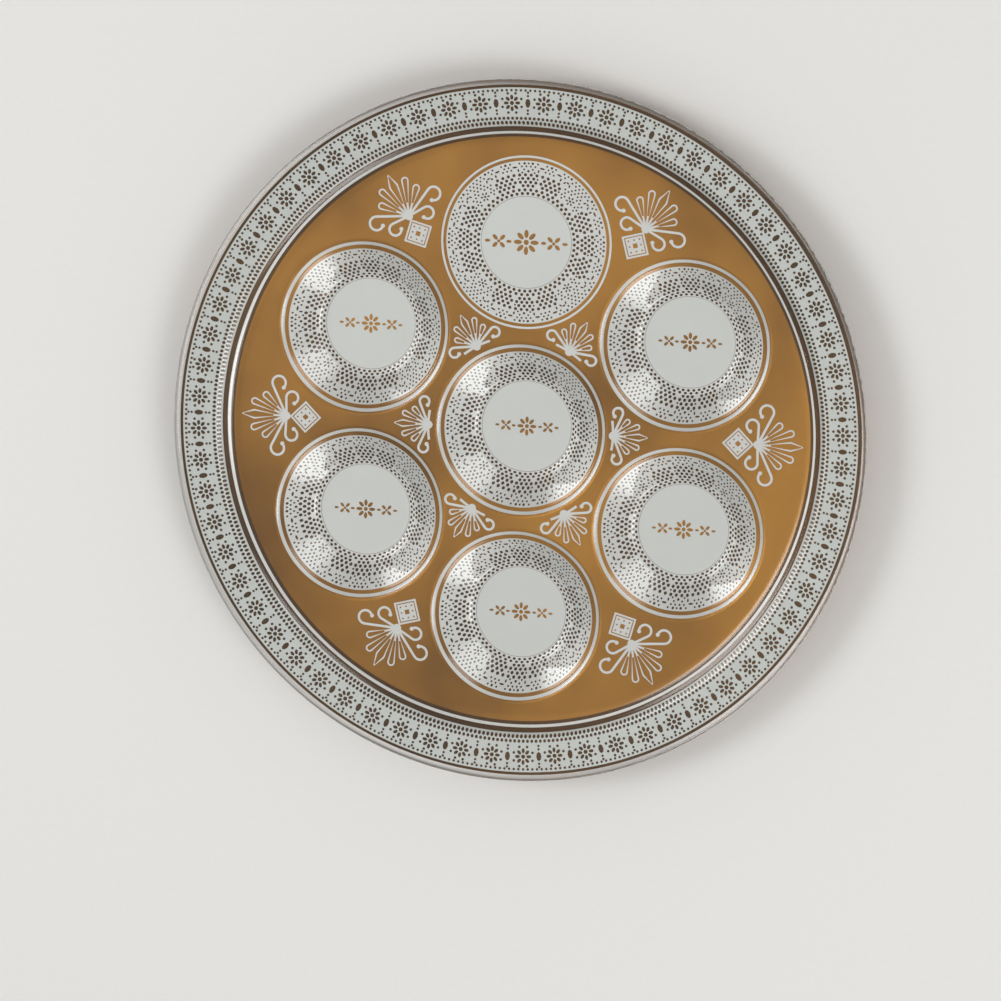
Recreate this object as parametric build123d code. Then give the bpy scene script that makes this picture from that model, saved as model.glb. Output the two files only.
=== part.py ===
from build123d import *
import math
import os

# A serving plate of slumped glass: a flat field with six round wells and a flat medallion,
# inside a raised rim. The decoration lies on the underside of the glass, silver prints first
# and one gold coat behind them, and soft bumpers under the wells carry the plate.
# Lengths are in millimetres, angles in degrees.

# Glass sheet
GLASS_THICKNESS = 5.0

# Layers behind the glass
PRINT_THICKNESS = 0.2
GOLD_THICKNESS = 0.3

# Wells: radii of the upper face where it is hollow, of the underside where it is domed
LABEL_RADIUS = 26.0
LABEL_MARGIN = 0.2
WELL_DEPTH = 17.4
WELL_WALL_ANGLE = 42.0
WELL_FLOOR_FILLET = 6.0
WELL_LIP_RADIUS = 3.0
WELL_BRIDGE = 5.2
CIRCLE_COUNT = 6
MEDALLION_ANGLE = 90.0

# Printed circles, measured inwards from the lip of a well
OUTLINE_INSET = 1.7
OUTLINE_WIDTH = 1.2
LACE_GAP = 1.8

# Raised rim
FIELD_MARGIN = 5.1
COVE_RADIUS = 12.0
COVE_ANGLE = 45.0
SHOULDER_RADIUS = 5.0
RIM_SLOPE = 6.0
RIM_FLANGE = 19.84

# Prints on the rim, measured outwards from the field and inwards from the edge
BORDER_OFFSET = 6.6
BORDER_WIDTH = 1.8
RIM_LACE_OFFSET = 2.7
RIM_LACE_MARGIN = 1.5
GOLD_MARGIN = 1.0

# Palmettes
PRINT_MARGIN = 0.4
STROKE_WIDTH = 1.4
SIDE_PETALS = 2
PETAL_LINE = 0.9
PETAL_ROOT_RADIUS = 0.6
PETAL_POINT_RADIUS = 0.4
PETAL_BELLY = 0.62
PETAL_CORE_ROOT = 8.0
MIDDLE_PETAL_FULLNESS = 1.25
CURL_SWEEP = 250.0
HUB_RADIUS = 4.0
OUTER_PETAL_LENGTH = 26.0
OUTER_PETAL_STEP = 3.6
OUTER_PETAL_SPREAD = 21.5
OUTER_PETAL_HALF_WIDTH = 2.2
OUTER_TIP_MARGIN = 0.5
OUTER_CURL_ANGLE = 64.0
OUTER_CURL_STEM = 19.0
OUTER_CURL_RADIUS = 3.9
BASE_CURL_ANGLE = 88.0
BASE_CURL_STEM = 10.5
BASE_CURL_RADIUS = 3.5
DIAMOND_SIDE = 13.0
DIAMOND_HOLE_SIDE = 2.6
INNER_PETAL_LENGTH = 20.0
INNER_PETAL_STEP = 3.2
INNER_PETAL_SPREAD = 23.0
INNER_PETAL_HALF_WIDTH = 1.8
INNER_CURL_ANGLE = 67.0
INNER_CURL_STEM = 13.2
INNER_CURL_RADIUS = 2.8
COLLAR_MARGIN = 2.6
COLLAR_SWEEP = 18.0

# Bumpers under the wells: radii at the top, halfway down and at the sole
FOOT_RADIUS = 6.0
FOOT_FLAT_RADIUS = 4.2
FOOT_FLANK_RADIUS = 5.55
FOOT_HEIGHT = 2.2

# Shortest length that counts as an edge
LENGTH_TOLERANCE = 1e-6

WELL_FLOOR_RADIUS = LABEL_RADIUS + LABEL_MARGIN
PRINT_DEPTH = GLASS_THICKNESS + PRINT_THICKNESS
COAT_DEPTH = PRINT_DEPTH + GOLD_THICKNESS
FIELD_LEVEL = FOOT_HEIGHT + COAT_DEPTH + WELL_DEPTH


def below(heading):
    """Unit vector across the sheet, pointing to its underside, at a heading in degrees."""
    angle = math.radians(heading)
    return math.sin(angle), -math.cos(angle)


class Meridian:
    """Section of a round stretch of the sheet: straight and bent runs along its upper face.

    Any other face of the glass or of a layer lies at a depth below the upper face. Places along
    the section are given by their radius on the underside of the glass, where the prints lie.
    """

    def __init__(self, radius, height):
        self.radius = radius
        self.height = height
        self.heading = 0.0
        self.runs = []

    def straight(self, length):
        """Go on for a length at the same heading."""
        self.runs.append(("straight", (self.radius, self.height), self.heading, 0.0, length))
        self.radius += length * math.cos(math.radians(self.heading))
        self.height += length * math.sin(math.radians(self.heading))

    def bend(self, radius, heading):
        """Go on round an arc of the upper face to a new heading; a negative radius bends down."""
        across = below(self.heading)
        centre = (self.radius - radius * across[0], self.height - radius * across[1])
        self.runs.append(("bend", centre, radius, self.heading, heading))
        across = below(heading)
        self.radius = centre[0] + radius * across[0]
        self.height = centre[1] + radius * across[1]
        self.heading = heading

    def point(self, run, place, depth):
        """Point of the section at a place along a run, at a depth below the upper face."""
        kind, origin, value, _, _ = run
        if kind == "bend":
            across = below(place)
            reach = value + depth
            return origin[0] + reach * across[0], 0, origin[1] + reach * across[1]
        across = below(value)
        along = math.radians(value)
        return (
            origin[0] + place * math.cos(along) + depth * across[0],
            0,
            origin[1] + place * math.sin(along) + depth * across[1],
        )

    def locate(self, radius):
        """Run and place along it where the underside of the glass has this radius."""
        for number, run in enumerate(self.runs):
            first = self.point(run, run[3], GLASS_THICKNESS)[0]
            last = self.point(run, run[4], GLASS_THICKNESS)[0]
            if radius <= last or run is self.runs[-1]:
                if run[0] == "straight":
                    return number, run[4] * (radius - first) / (last - first)
                reach = run[2] + GLASS_THICKNESS
                return number, math.degrees(math.asin((radius - run[1][0]) / reach))

    def path(self, inner, outer, depth):
        """Edges of the face at a depth, between two radii."""
        first, start = self.locate(inner)
        last, stop = self.locate(outer)
        edges = []
        for number in range(first, last + 1):
            run = self.runs[number]
            begin = start if number == first else run[3]
            end = stop if number == last else run[4]
            middle = (begin + end) / 2
            ends = self.point(run, begin, depth), self.point(run, end, depth)
            if math.dist(*ends) < LENGTH_TOLERANCE:
                continue
            if run[0] == "bend":
                edges.append(ThreePointArc(ends[0], self.point(run, middle, depth), ends[1]))
            else:
                edges.append(Line(*ends))
        return edges

    def band(self, inner, outer, top, bottom):
        """Ring between two radii and two depths, cut square to the sheet at both ends."""
        upper = self.path(inner, outer, top)
        lower = self.path(inner, outer, bottom)
        inner_side = Line(upper[0] @ 0, lower[0] @ 0)
        outer_side = Line(upper[-1] @ 1, lower[-1] @ 1)
        return revolve(make_face(upper + lower + [inner_side, outer_side]), axis=Axis.Z)


def well_section():
    """Floor, fillet, wall and lip of a well, from its middle to the flat field."""
    lip_radius = WELL_LIP_RADIUS + GLASS_THICKNESS
    bend_drop = (WELL_FLOOR_FILLET + lip_radius) * (1 - math.cos(math.radians(WELL_WALL_ANGLE)))
    section = Meridian(0.0, -WELL_DEPTH)
    section.straight(WELL_FLOOR_RADIUS)
    section.bend(WELL_FLOOR_FILLET, WELL_WALL_ANGLE)
    section.straight((WELL_DEPTH - bend_drop) / math.sin(math.radians(WELL_WALL_ANGLE)))
    section.bend(-lip_radius, 0.0)
    return section


def rim_section(field_radius):
    """Cove, shoulder and flange of the rim, from the flat field outwards."""
    section = Meridian(field_radius, 0.0)
    section.bend(COVE_RADIUS, COVE_ANGLE)
    section.bend(-(SHOULDER_RADIUS + GLASS_THICKNESS), RIM_SLOPE)
    section.straight(RIM_FLANGE)
    return section


WELL = well_section()
WELL_RADIUS = WELL.radius
PITCH_RADIUS = 2 * WELL_RADIUS + WELL_BRIDGE
FIELD_RADIUS = PITCH_RADIUS + WELL_RADIUS + FIELD_MARGIN
RIM = rim_section(FIELD_RADIUS)
RIM_RADIUS = RIM.point(RIM.runs[-1], RIM_FLANGE, GLASS_THICKNESS)[0]

OUTLINE_OUTER = WELL_RADIUS - OUTLINE_INSET
OUTLINE_INNER = OUTLINE_OUTER - OUTLINE_WIDTH
LACE_OUTER = OUTLINE_INNER - LACE_GAP
BORDER_INNER = FIELD_RADIUS + BORDER_OFFSET
BORDER_OUTER = BORDER_INNER + BORDER_WIDTH
RIM_LACE_INNER = BORDER_OUTER + RIM_LACE_OFFSET
GOLD_EDGE = RIM_RADIUS - GOLD_MARGIN
RIM_LACE_OUTER = GOLD_EDGE - RIM_LACE_MARGIN

CIRCLE_STEP = 360.0 / CIRCLE_COUNT
CIRCLE_NAMES = ["top", "upper_left", "lower_left", "bottom", "lower_right", "upper_right"]
PALMETTE_NAMES = ["upper_left", "left", "lower_left", "lower_right", "right", "upper_right"]


def polar_place(radius, angle):
    """Place at a radius and angle about the middle of the plate, turned to face outwards."""
    return Rot(0, 0, angle) * Pos(radius, 0, 0)


circle_places = {"centre": Pos(0, 0, 0)}
palmette_angles = {}
for number in range(CIRCLE_COUNT):
    circle_angle = MEDALLION_ANGLE + number * CIRCLE_STEP
    circle_places[CIRCLE_NAMES[number]] = polar_place(PITCH_RADIUS, circle_angle)
    palmette_angles[PALMETTE_NAMES[number]] = circle_angle + CIRCLE_STEP / 2
well_places = {name: place for name, place in circle_places.items() if name != "top"}


def sheet(sketch, top, bottom):
    """Flat layer with the outline of a sketch, between two depths below the field."""
    return Pos(0, 0, -bottom) * extrude(sketch, amount=bottom - top, dir=(0, 0, 1))


def field_sketch():
    """The flat field inside the rim, open where the wells are."""
    holes = [place * Circle(WELL_RADIUS) for place in well_places.values()]
    return Circle(FIELD_RADIUS) - holes


def printable_sketch():
    """The part of the field where palmettes may lie, clear of lips, medallion and rim."""
    keep_out = [place * Circle(WELL_RADIUS + PRINT_MARGIN) for place in circle_places.values()]
    return Circle(FIELD_RADIUS - PRINT_MARGIN) - keep_out


def glass_plate():
    """Field, six wells and rim of one sheet, with a fully rounded outer edge."""
    upper = RIM.path(FIELD_RADIUS, RIM_RADIUS, 0.0)
    lower = RIM.path(FIELD_RADIUS, RIM_RADIUS, GLASS_THICKNESS)
    flange = RIM.runs[-1]
    edge_middle = RIM.point(flange, RIM_FLANGE + GLASS_THICKNESS / 2, GLASS_THICKNESS / 2)
    edge = ThreePointArc(upper[-1] @ 1, edge_middle, lower[-1] @ 1)
    inner_side = Line(upper[0] @ 0, lower[0] @ 0)
    rim = revolve(make_face(upper + lower + [edge, inner_side]), axis=Axis.Z)
    well = WELL.band(0.0, WELL_RADIUS, 0.0, GLASS_THICKNESS)
    field = sheet(field_sketch(), 0.0, GLASS_THICKNESS)
    return field + [place * well for place in well_places.values()] + rim


def printed_circle(inner, outer, sunk):
    """One printed ring or disc, in a well where sunk and otherwise flat on the field."""
    if sunk:
        return WELL.band(inner, outer, GLASS_THICKNESS, PRINT_DEPTH)
    outline = Circle(outer)
    if inner > 0:
        outline -= Circle(inner)
    return sheet(outline, GLASS_THICKNESS, PRINT_DEPTH)


def rim_print(inner, outer):
    """One printed ring on the rim."""
    return RIM.band(inner, outer, GLASS_THICKNESS, PRINT_DEPTH)


def on_circle(circle, angle, side):
    """Point at an angle on a circle whose middle lies on X, on one side of X."""
    place, radius = circle
    turn = math.radians(angle)
    return place + radius * math.cos(turn), side * radius * math.sin(turn)


def taut_outline(circles):
    """Face inside a belt drawn tightly round circles that follow each other along X."""
    turns = [180.0]
    for (place, radius), (next_place, next_radius) in zip(circles, circles[1:]):
        turns.append(math.degrees(math.acos((radius - next_radius) / (next_place - place))))
    turns.append(0.0)
    edges = []
    for side in (1, -1):
        for number, circle in enumerate(circles):
            start, end = turns[number], turns[number + 1]
            arc_points = [on_circle(circle, turn, side) for turn in (start, (start + end) / 2, end)]
            edges.append(ThreePointArc(*arc_points))
            if number + 1 < len(circles):
                edges.append(Line(arc_points[-1], on_circle(circles[number + 1], end, side)))
    return make_face(edges)


def leaf(root, tip, half_width, pointed):
    """Leaf along X that widens from its root to a round end, or to a belly below a point."""
    stem = (root, PETAL_ROOT_RADIUS)
    if not pointed:
        return taut_outline([stem, (tip - half_width, half_width)])
    belly = (root + PETAL_BELLY * (tip - root), half_width)
    return taut_outline([stem, belly, (tip - PETAL_POINT_RADIUS, PETAL_POINT_RADIUS)])


def curl(angle, stem, radius, side):
    """Stroke that leaves the hub at an angle to one side and ends in a hook."""
    heading = Vector(1, 0).rotate(Axis.Z, side * angle)
    root = Line((0, 0), heading * stem)
    hook = JernArc(root @ 1, heading, radius, side * CURL_SWEEP)
    return trace([root, hook], STROKE_WIDTH)


def fan(length, step, spread, half_width, curls):
    """Hub with open petals that shorten to both sides, and a mirrored pair of each curl."""
    shape = Circle(HUB_RADIUS)
    cores = []
    for number in range(-SIDE_PETALS, SIDE_PETALS + 1):
        turn = Rot(0, 0, number * spread)
        tip = length - step * abs(number)
        pointed = number == 0
        width = half_width * MIDDLE_PETAL_FULLNESS if pointed else half_width
        shape += turn * leaf(0.0, tip, width, pointed)
        cores.append(turn * leaf(PETAL_CORE_ROOT, tip - PETAL_LINE, width - PETAL_LINE, pointed))
    shape -= cores
    for angle, stem, radius in curls:
        shape += [curl(angle, stem, radius, side) for side in (-1, 1)]
    return shape


def outer_palmette():
    """Large palmette on a pierced diamond, with its tip near the rim when its hub is in place."""
    outer_curl = (OUTER_CURL_ANGLE, OUTER_CURL_STEM, OUTER_CURL_RADIUS)
    base_curl = (BASE_CURL_ANGLE, BASE_CURL_STEM, BASE_CURL_RADIUS)
    curls = [outer_curl, base_curl]
    shape = fan(OUTER_PETAL_LENGTH, OUTER_PETAL_STEP, OUTER_PETAL_SPREAD, OUTER_PETAL_HALF_WIDTH, curls)
    half_diagonal = DIAMOND_SIDE / math.sqrt(2)
    diamond = Rot(0, 0, 45) * (
        Rectangle(DIAMOND_SIDE, DIAMOND_SIDE) - Rectangle(DIAMOND_HOLE_SIDE, DIAMOND_HOLE_SIDE)
    )
    return shape + Pos(-HUB_RADIUS / 2 - half_diagonal, 0) * diamond


def inner_palmette(hub_place):
    """Small palmette on a collar that follows the lip of the centre well."""
    curls = [(INNER_CURL_ANGLE, INNER_CURL_STEM, INNER_CURL_RADIUS)]
    shape = fan(INNER_PETAL_LENGTH, INNER_PETAL_STEP, INNER_PETAL_SPREAD, INNER_PETAL_HALF_WIDTH, curls)
    collar_path = CenterArc((-hub_place, 0), hub_place, -COLLAR_SWEEP / 2, COLLAR_SWEEP)
    return shape + trace(collar_path, STROKE_WIDTH)


def palmette_sketches():
    """Outlines of all palmettes in place, trimmed clear of lips, medallion and rim."""
    printable = printable_sketch()
    outer_hub = FIELD_RADIUS - OUTER_TIP_MARGIN - OUTER_PETAL_LENGTH
    inner_hub = WELL_RADIUS + COLLAR_MARGIN
    outer_shape = outer_palmette()
    inner_shape = inner_palmette(inner_hub)
    sketches = {}
    for name, angle in palmette_angles.items():
        sketches["outer_palmette_" + name] = (polar_place(outer_hub, angle) * outer_shape) & printable
        sketches["inner_palmette_" + name] = (polar_place(inner_hub, angle) * inner_shape) & printable
    return sketches


def gold_ground(palmettes):
    """One coat over the whole underside, filling between the prints and covering them."""
    medallion = circle_places["top"]
    lace_disc = medallion * Circle(LACE_OUTER)
    outline = medallion * (Circle(OUTLINE_OUTER) - Circle(OUTLINE_INNER))
    fill_sketch = field_sketch() - lace_disc - outline - list(palmettes.values())
    coat = sheet(field_sketch(), PRINT_DEPTH, COAT_DEPTH)
    coat += sheet(fill_sketch, GLASS_THICKNESS, PRINT_DEPTH)
    well = WELL.band(0.0, WELL_RADIUS, PRINT_DEPTH, COAT_DEPTH)
    well += WELL.band(LACE_OUTER, OUTLINE_INNER, GLASS_THICKNESS, PRINT_DEPTH)
    well += WELL.band(OUTLINE_OUTER, WELL_RADIUS, GLASS_THICKNESS, PRINT_DEPTH)
    coat += [place * well for place in well_places.values()]
    rim = RIM.band(FIELD_RADIUS, GOLD_EDGE, PRINT_DEPTH, COAT_DEPTH)
    rim += rim_print(FIELD_RADIUS, BORDER_INNER)
    rim += rim_print(BORDER_OUTER, RIM_LACE_INNER)
    rim += rim_print(RIM_LACE_OUTER, GOLD_EDGE)
    return coat + rim


def foot():
    """Bumper with a rounded flank and a flat sole, hanging from the coat under a well."""
    top = -WELL_DEPTH - COAT_DEPTH
    sole = top - FOOT_HEIGHT
    flank = ThreePointArc(
        (FOOT_RADIUS, 0, top),
        (FOOT_FLANK_RADIUS, 0, (top + sole) / 2),
        (FOOT_FLAT_RADIUS, 0, sole),
    )
    top_line = Line((0, 0, top), (FOOT_RADIUS, 0, top))
    sole_line = Line((FOOT_FLAT_RADIUS, 0, sole), (0, 0, sole))
    axis_line = Line((0, 0, sole), (0, 0, top))
    return revolve(make_face([top_line, flank, sole_line, axis_line]), axis=Axis.Z)


def all_parts():
    """Every piece by name, with the flat field's upper face at height zero."""
    palmettes = palmette_sketches()
    parts = {
        "glass_plate": glass_plate(),
        "gold_ground": gold_ground(palmettes),
        "border_line": rim_print(BORDER_INNER, BORDER_OUTER),
        "rim_lace_band": rim_print(RIM_LACE_INNER, RIM_LACE_OUTER),
    }
    for name, place in circle_places.items():
        sunk = name in well_places
        parts["label_disc_" + name] = place * printed_circle(0.0, LABEL_RADIUS, sunk)
        parts["lace_ring_" + name] = place * printed_circle(LABEL_RADIUS, LACE_OUTER, sunk)
        parts["outline_ring_" + name] = place * printed_circle(OUTLINE_INNER, OUTLINE_OUTER, sunk)
    for name, sketch in palmettes.items():
        parts[name] = sheet(sketch, GLASS_THICKNESS, PRINT_DEPTH)
    for name, place in well_places.items():
        parts["foot_" + name] = place * foot()
    return parts


os.makedirs("parts", exist_ok=True)
for node, part in all_parts().items():
    export_step(Pos(0, 0, FIELD_LEVEL) * part, f"parts/{node}.step")
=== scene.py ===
from math import acos, cos, pi, radians, sin, tau

import bpy
from bpy.props import FloatProperty, FloatVectorProperty, PointerProperty
from bpy.types import Operator, Panel, PropertyGroup
from mathutils import Matrix, Vector


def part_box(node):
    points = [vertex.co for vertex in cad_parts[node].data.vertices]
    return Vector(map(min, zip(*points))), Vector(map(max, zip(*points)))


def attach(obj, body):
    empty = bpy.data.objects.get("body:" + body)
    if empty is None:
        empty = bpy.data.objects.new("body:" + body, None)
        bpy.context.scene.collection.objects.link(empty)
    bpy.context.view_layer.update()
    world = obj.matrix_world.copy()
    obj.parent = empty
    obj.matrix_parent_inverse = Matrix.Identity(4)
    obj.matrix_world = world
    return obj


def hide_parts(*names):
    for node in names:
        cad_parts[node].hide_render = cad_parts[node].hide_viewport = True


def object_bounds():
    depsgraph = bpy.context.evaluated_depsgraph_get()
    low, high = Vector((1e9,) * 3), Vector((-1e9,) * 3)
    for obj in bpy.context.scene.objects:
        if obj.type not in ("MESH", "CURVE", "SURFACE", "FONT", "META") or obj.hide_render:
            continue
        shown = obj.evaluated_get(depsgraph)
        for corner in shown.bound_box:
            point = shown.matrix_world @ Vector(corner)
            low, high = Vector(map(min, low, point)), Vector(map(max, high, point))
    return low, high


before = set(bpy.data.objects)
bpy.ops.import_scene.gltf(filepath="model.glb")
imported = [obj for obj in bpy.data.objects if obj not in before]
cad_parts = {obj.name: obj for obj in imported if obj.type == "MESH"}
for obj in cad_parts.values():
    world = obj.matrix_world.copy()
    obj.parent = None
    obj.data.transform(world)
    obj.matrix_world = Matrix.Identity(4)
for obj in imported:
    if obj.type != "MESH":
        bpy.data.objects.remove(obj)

bl_info = {
    "name": "Seder plate",
    "version": (1, 0, 0),
    "blender": (4, 5, 0),
    "location": "3D View > Sidebar > Plate",
    "description": "Models a slumped glass seder plate with a gold back and silver lace prints",
    "category": "Object",
}

# Places and sizes that the frame gives, in metres
CAD_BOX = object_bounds()
MM = 0.001
CIRCLES = ("centre", "top", "upper_left", "lower_left", "bottom", "lower_right", "upper_right")
WELLS = tuple(name for name in CIRCLES if name != "top")
PALMETTE_ANGLES = {
    "right": 0.0,
    "upper_right": tau / 6,
    "upper_left": tau / 3,
    "left": tau / 2,
    "lower_left": 2 * tau / 3,
    "lower_right": 5 * tau / 6,
}


def middle(node):
    """Middle of a node's box."""
    low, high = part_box(node)
    return (low + high) / 2


def half_width(node):
    """Half the width of a node's box, the outer radius of a round piece."""
    low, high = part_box(node)
    return (high.x - low.x) / 2


PLACES = {name: middle("label_disc_" + name) for name in CIRCLES}
LABEL_RADIUS = half_width("label_disc_centre")
LACE_RADIUS = half_width("lace_ring_top")
RIM_LACE_RADIUS = half_width("rim_lace_band")
PITCH_RADIUS = PLACES["top"].y
FIELD_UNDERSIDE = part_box("label_disc_top")[1].z
FLOOR_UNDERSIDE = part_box("label_disc_centre")[1].z
WELL_DEPTH = FIELD_UNDERSIDE - FLOOR_UNDERSIDE
PRINT_ROOM = FIELD_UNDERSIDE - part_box("label_disc_top")[0].z
COAT_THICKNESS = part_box("label_disc_centre")[0].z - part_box("gold_ground")[0].z
OUTER_PETAL = 26 * MM
INNER_PETAL = 20 * MM
OUTER_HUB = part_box("outer_palmette_right")[1].x - OUTER_PETAL
INNER_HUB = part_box("inner_palmette_right")[1].x - INNER_PETAL


def length(label, description, value):
    """A length in metres, for a property group."""
    return FloatProperty(name=label, description=description, default=value, subtype="DISTANCE", precision=5)


def angle(label, description, degrees):
    """An angle, given in degrees, for a property group."""
    return FloatProperty(name=label, description=description, default=radians(degrees), subtype="ANGLE")


def colour(label, description, value):
    """A linear colour, for a property group."""
    return FloatVectorProperty(
        name=label, description=description, default=value, size=3, min=0.0, max=1.0, subtype="COLOR"
    )


class PlateSizes(PropertyGroup):
    """Sizes of the sheet, its edge and its prints"""

    glass_thickness: length("Glass thickness", "Thickness of the sheet", 5 * MM)
    floor_margin: length("Floor margin", "Flat floor beyond the label disc", 0.2 * MM)
    wall_angle: angle("Wall angle", "Slope of the wall of a well", 42)
    floor_fillet: length("Floor fillet", "Bend from floor to wall on the upper face", 6 * MM)
    lip_radius: length("Lip radius", "Bend from wall to field on the upper face", 8 * MM)
    field_margin: length("Field margin", "Flat field between the outer wells and the rim", 5.1 * MM)
    cove_radius: length("Cove radius", "Bend from field to rim on the upper face", 12 * MM)
    cove_angle: angle("Cove angle", "Steepest slope of the rim", 45)
    shoulder_radius: length("Shoulder radius", "Bend from cove to flange on the upper face", 10 * MM)
    rim_slope: angle("Rim slope", "Slope of the outer flange", 6)
    rim_flange: length("Rim flange", "Width of the outer flange up to its round edge", 19.84 * MM)
    coat_margin: length("Coat margin", "Bare glass between the gold coat and the edge", 1 * MM)
    print_thickness: length("Print thickness", "Thickness of a silver print", 0.08 * MM)
    outline_width: length("Outline width", "Width of the line round a lace ring", 1.2 * MM)
    border_width: length("Border width", "Width of the line inside the rim", 1.8 * MM)
    rim_lace_width: length("Rim lace width", "Width of the lace round the rim", 21 * MM)
    bead: length("Bead", "Half size of a round opening in the lace", 0.96 * MM)
    stroke: length("Stroke", "Width of a drawn line in the palmettes", 1.4 * MM)
    petal_line: length("Petal line", "Width of the line round a petal", 0.9 * MM)
    curl_sweep: angle("Curl sweep", "Turn of the hook at the end of a curl", 250)


class PlateFinish(PropertyGroup):
    """Colours of the glass, the coats and the prints"""

    glass: colour("Glass", "Tint of the glass", (0.985, 0.992, 0.988))
    gold: colour("Gold", "Gold coat", (0.43, 0.2, 0.028))
    # Painted reflection: darker clouds in the gold that stand in for reflections of the surroundings
    gold_reflection_dark: colour("Deep gold", "Darker clouds in the gold coat", (0.16, 0.068, 0.008))
    # Painted shade: darker gold where the coat shows through the lace and round the border line
    gold_shade: colour("Shaded gold", "Gold coat behind the lace", (0.035, 0.016, 0.006))
    silver: colour("Silver", "Silver lace and lines", (0.92, 0.92, 0.905))
    # Painted shade: the same silver as the lace in the wells, printed darker and slightly greener round the
    # rim
    shaded_rim_silver: colour("Rim silver", "Silver lace round the rim", (0.62, 0.64, 0.615))
    label: colour("Label", "Pale ground of the label discs", (0.64, 0.645, 0.635))
    bumper: colour("Bumper", "Clear soft bumpers", (0.78, 0.79, 0.78))
    floor: colour("Floor", "Studio floor", (0.93, 0.925, 0.91))


# Shader maths as Python expressions


class Wire:
    """An output socket in a material, with operators that add Math nodes."""

    def __init__(self, finish, socket):
        self.finish = finish
        self.socket = socket

    def math(self, operation, first, second):
        return self.finish.node("ShaderNodeMath", {"operation": operation}, {0: first, 1: second})

    def __add__(self, other):
        return self.math("ADD", self, other)

    def __radd__(self, other):
        return self.math("ADD", other, self)

    def __sub__(self, other):
        return self.math("SUBTRACT", self, other)

    def __rsub__(self, other):
        return self.math("SUBTRACT", other, self)

    def __mul__(self, other):
        return self.math("MULTIPLY", self, other)

    def __rmul__(self, other):
        return self.math("MULTIPLY", other, self)

    def __lt__(self, other):
        return self.math("LESS_THAN", self, other)

    def __gt__(self, other):
        return self.math("GREATER_THAN", self, other)


class Finish:
    """The node tree of a material, a lamp or the surroundings."""

    def __init__(self, holder):
        self.holder = holder
        holder.use_nodes = True
        self.tree = holder.node_tree
        self.tree.nodes.clear()

    def node(self, kind, settings=None, inputs=None, output=0):
        """Add a node, set it up, fill or link its sockets and return one of its outputs."""
        made = self.tree.nodes.new(kind)
        for key, value in (settings or {}).items():
            setattr(made, key, value)
        for key, value in (inputs or {}).items():
            if isinstance(value, Wire):
                self.tree.links.new(value.socket, made.inputs[key])
            else:
                made.inputs[key].default_value = value
        return Wire(self, made.outputs[output]) if made.outputs else None

    def place(self):
        """Object coordinates of the surface."""
        return self.node("ShaderNodeTexCoord", output="Object")

    def noise(self, scale, detail=2.0, roughness=0.5, vector=None):
        """Soft noise from 0 to 1 at a scale per metre."""
        inputs = {"Vector": vector or self.place(), "Scale": scale, "Detail": detail, "Roughness": roughness}
        return self.node("ShaderNodeTexNoise", {"noise_dimensions": "3D"}, inputs)

    def mix(self, factor, first, second):
        """Blend of two colours."""
        inputs = {0: factor, 6: (*first, 1.0), 7: (*second, 1.0)}
        return self.node("ShaderNodeMix", {"data_type": "RGBA"}, inputs, output=2)

    def blend(self, factor, first, second):
        """Blend from one colour output to a colour."""
        inputs = {0: factor, 6: first, 7: (*second, 1.0)}
        return self.node("ShaderNodeMix", {"data_type": "RGBA"}, inputs, output=2)

    def reach(self, place, centre):
        """Level distance of a place from an upright axis."""
        level = self.node("ShaderNodeVectorMath", {"operation": "MULTIPLY"}, {0: place, 1: (1.0, 1.0, 0.0)})
        axis = (centre.x, centre.y, 0.0)
        return self.node("ShaderNodeVectorMath", {"operation": "DISTANCE"}, {0: level, 1: axis}, "Value")

    def bump(self, height, strength, distance):
        """Normal that follows a height."""
        inputs = {"Height": height, "Strength": strength, "Distance": distance}
        return self.node("ShaderNodeBump", None, inputs)

    def close(self, shader, kind="Material"):
        """Wire the shader to the surface and return what it belongs to."""
        self.node("ShaderNodeOutput" + kind, None, {"Surface": shader})
        return self.holder


def finishes():
    """The scene's colours."""
    return bpy.context.scene.plate_finish


def new_finish(name):
    """Node tree of a new material."""
    return Finish(bpy.data.materials.new(name))


def clear_glass():
    """Colourless glass with a slightly wavy face; lamps reach what lies behind it."""
    made = new_finish("clear_glass")
    waves = made.noise(22.0, detail=1.0)
    skin = {
        "Base Color": (*finishes().glass, 1.0),
        "Roughness": 0.0,
        "IOR": 1.5,
        "Transmission Weight": 1.0,
        "Normal": made.bump(waves, 0.06, 0.002),
    }
    glass = made.node("ShaderNodeBsdfPrincipled", None, skin)
    clear = made.node("ShaderNodeBsdfTransparent", None, {"Color": (0.97, 0.975, 0.97, 1.0)})
    lamp = made.node("ShaderNodeLightPath", output="Is Shadow Ray")
    spread = made.node("ShaderNodeLightPath", output="Is Diffuse Ray")
    return made.close(made.node("ShaderNodeMixShader", None, {0: lamp + spread, 1: glass, 2: clear}))


# Width of the painted shade stripe on the gold coat, which starts inside the border line
BORDER_SHADE = 4.0 * MM


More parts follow.
